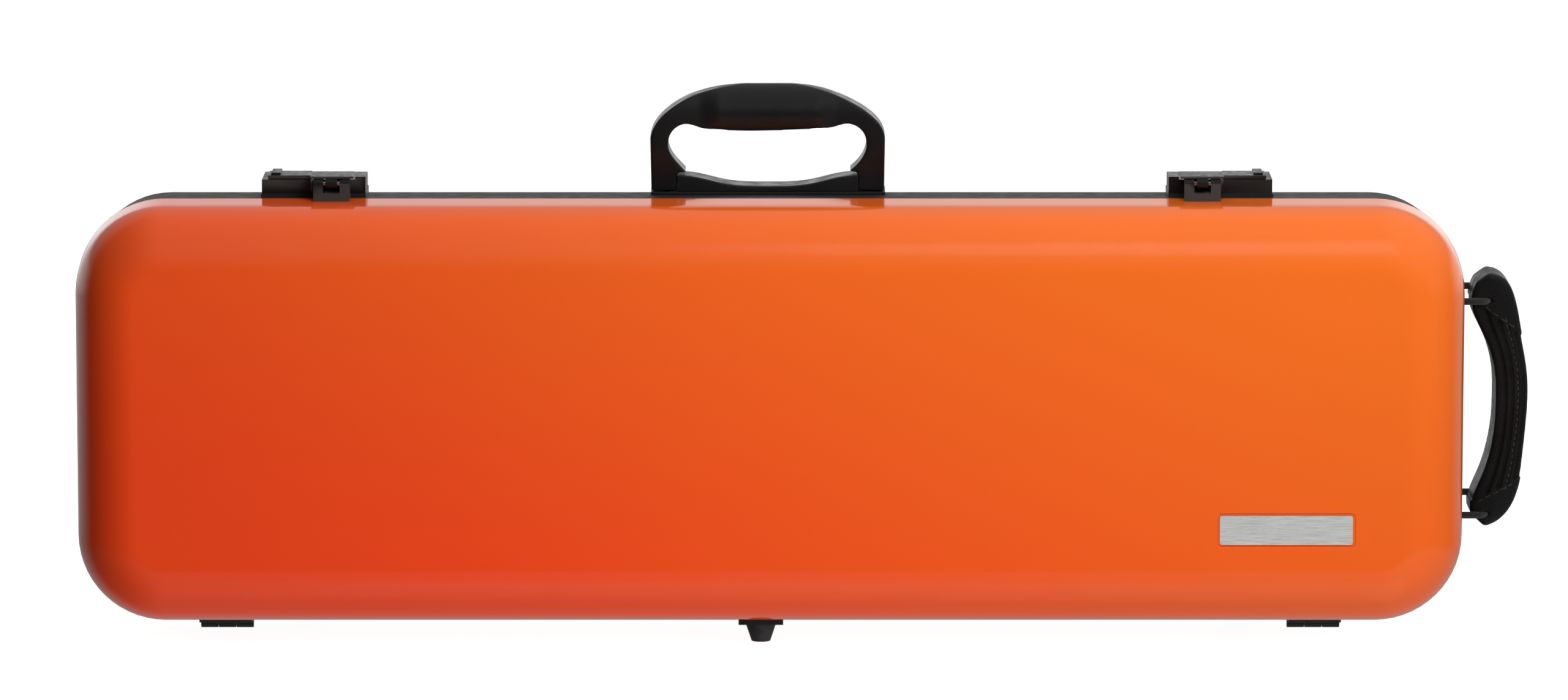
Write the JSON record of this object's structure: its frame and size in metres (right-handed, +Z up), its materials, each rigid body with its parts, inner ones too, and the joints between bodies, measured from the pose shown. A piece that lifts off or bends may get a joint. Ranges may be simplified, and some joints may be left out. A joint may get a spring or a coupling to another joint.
{
  "type": "violin case",
  "caption": "Oblong hard-shell violin case standing on its long edge, with a rigid top handle, slide locks, hinged lid, padded end strap and a fitted foam interior.",
  "frame": {"origin": "centre of the front foot's sole, on the floor the case stands on", "axes": "+X along the case towards the end with the strap, +Y from the lid towards the base's back, +Z up towards the carrying handle"},
  "size_m": [0.829, 0.1383, 0.3131],
  "materials": {
    "orange_shell": "high-gloss moulded sheet",
    "dark_shell": "satin",
    "frame_metal": "anodised dark",
    "seal_rubber": "matte",
    "foam_velour": "velour over moulded foam",
    "lining_velour": "velour",
    "plate_metal": "brushed",
    "grip_plastic": "fine matte",
    "lock_metal": "black satin coat",
    "spring_steel": "plain",
    "steel": "plain",
    "foot_rubber": "matte",
    "strap_leather": "padded, stitched",
    "cord": "round braided",
    "tab_fabric": "woven ribbon"
  },
  "bodies": {
    "base": {"base_shell": "dark_shell", "base_frame": "frame_metal", "rim_seal": "seal_rubber", "handle": "grip_plastic", "handle_saddle": "grip_plastic", "handle_plate": "grip_plastic", "handle_backing": "steel", "handle_screws": "steel", "base_hinge_leaves": "lock_metal", "hinge_pins": "steel", "base_hinge_rivets": "lock_metal", "lock_rivets": "steel", "rear_feet": "foot_rubber", "rear_foot_screws": "steel", "end_strap": "strap_leather", "strap_cords": "cord", "cord_eyelets": "grip_plastic", "foam_insert": "foam_velour", "suspension_pads": "foam_velour", "neck_cradle": "foam_velour", "neck_strap": "tab_fabric", "pocket_pin": "steel", "pocket_posts": "grip_plastic", "lock_housing_left": "lock_metal", "lock_spring_left": "spring_steel", "lock_housing_right": "lock_metal", "lock_spring_right": "spring_steel"},
    "lid": {"lid_shell": "orange_shell", "lid_frame": "frame_metal", "lid_lining": "lining_velour", "nameplate": "plate_metal", "lid_bracket_left": "lock_metal", "lid_bracket_right": "lock_metal", "hasp_pin_left": "steel", "hasp_pin_right": "steel", "lid_hinge_leaves": "lock_metal", "lid_hinge_rivets": "lock_metal", "bracket_rivets": "steel", "front_foot_plate": "grip_plastic", "front_foot": "foot_rubber", "front_foot_screw": "steel", "spinner_posts": "grip_plastic", "bow_tip_caps": "foam_velour"},
    "hasp_left": {"hasp_left": "lock_metal"},
    "hasp_right": {"hasp_right": "lock_metal"},
    "thumb_left": {"thumb_slide_left": "lock_metal"},
    "thumb_right": {"thumb_slide_right": "lock_metal"},
    "pocket_lid": {"pocket_lid": "foam_velour", "pocket_tab": "tab_fabric"},
    "bow_spinner_lower": {"bow_spinner_lower": "grip_plastic"},
    "bow_spinner_upper": {"bow_spinner_upper": "grip_plastic"}
  },
  "joints": [
    {"name": "lid_hinge", "type": "hinge", "parent": "base", "child": "lid", "pos_m": [0.0053, 0.014, 0.0085], "axis": [1, 0, 0], "range_deg": [0, 95]},
    {"name": "pocket_lid_hinge", "type": "hinge", "parent": "base", "child": "pocket_lid", "pos_m": [-0.1357, 0.026, 0.087], "axis": [-1, 0, 0], "range_deg": [0, 85]},
    {"name": "hasp_left_hinge", "type": "hinge", "parent": "lid", "child": "hasp_left", "pos_m": [-0.2437, 0.0058, 0.2626], "axis": [1, 0, 0], "range_deg": [0, 95]},
    {"name": "thumb_left_slide", "type": "slide", "parent": "base", "child": "thumb_left", "axis": [-1, 0, 0], "range_m": [0, 0.0035], "stiffness_N_per_m": 300, "springref_m": -0.003},
    {"name": "hasp_right_hinge", "type": "hinge", "parent": "lid", "child": "hasp_right", "pos_m": [0.2509, 0.0058, 0.2626], "axis": [1, 0, 0], "range_deg": [0, 95]},
    {"name": "thumb_right_slide", "type": "slide", "parent": "base", "child": "thumb_right", "axis": [1, 0, 0], "range_m": [0, 0.0035], "stiffness_N_per_m": 300, "springref_m": -0.003},
    {"name": "bow_spinner_lower_hinge", "type": "hinge", "parent": "lid", "child": "bow_spinner_lower", "pos_m": [-0.2847, -0.0297, 0.178], "axis": [0, 1, 0], "range_deg": [-90, 90]},
    {"name": "bow_spinner_upper_hinge", "type": "hinge", "parent": "lid", "child": "bow_spinner_upper", "pos_m": [-0.2847, -0.0297, 0.208], "axis": [0, 1, 0], "range_deg": [-90, 90]}
  ]
}
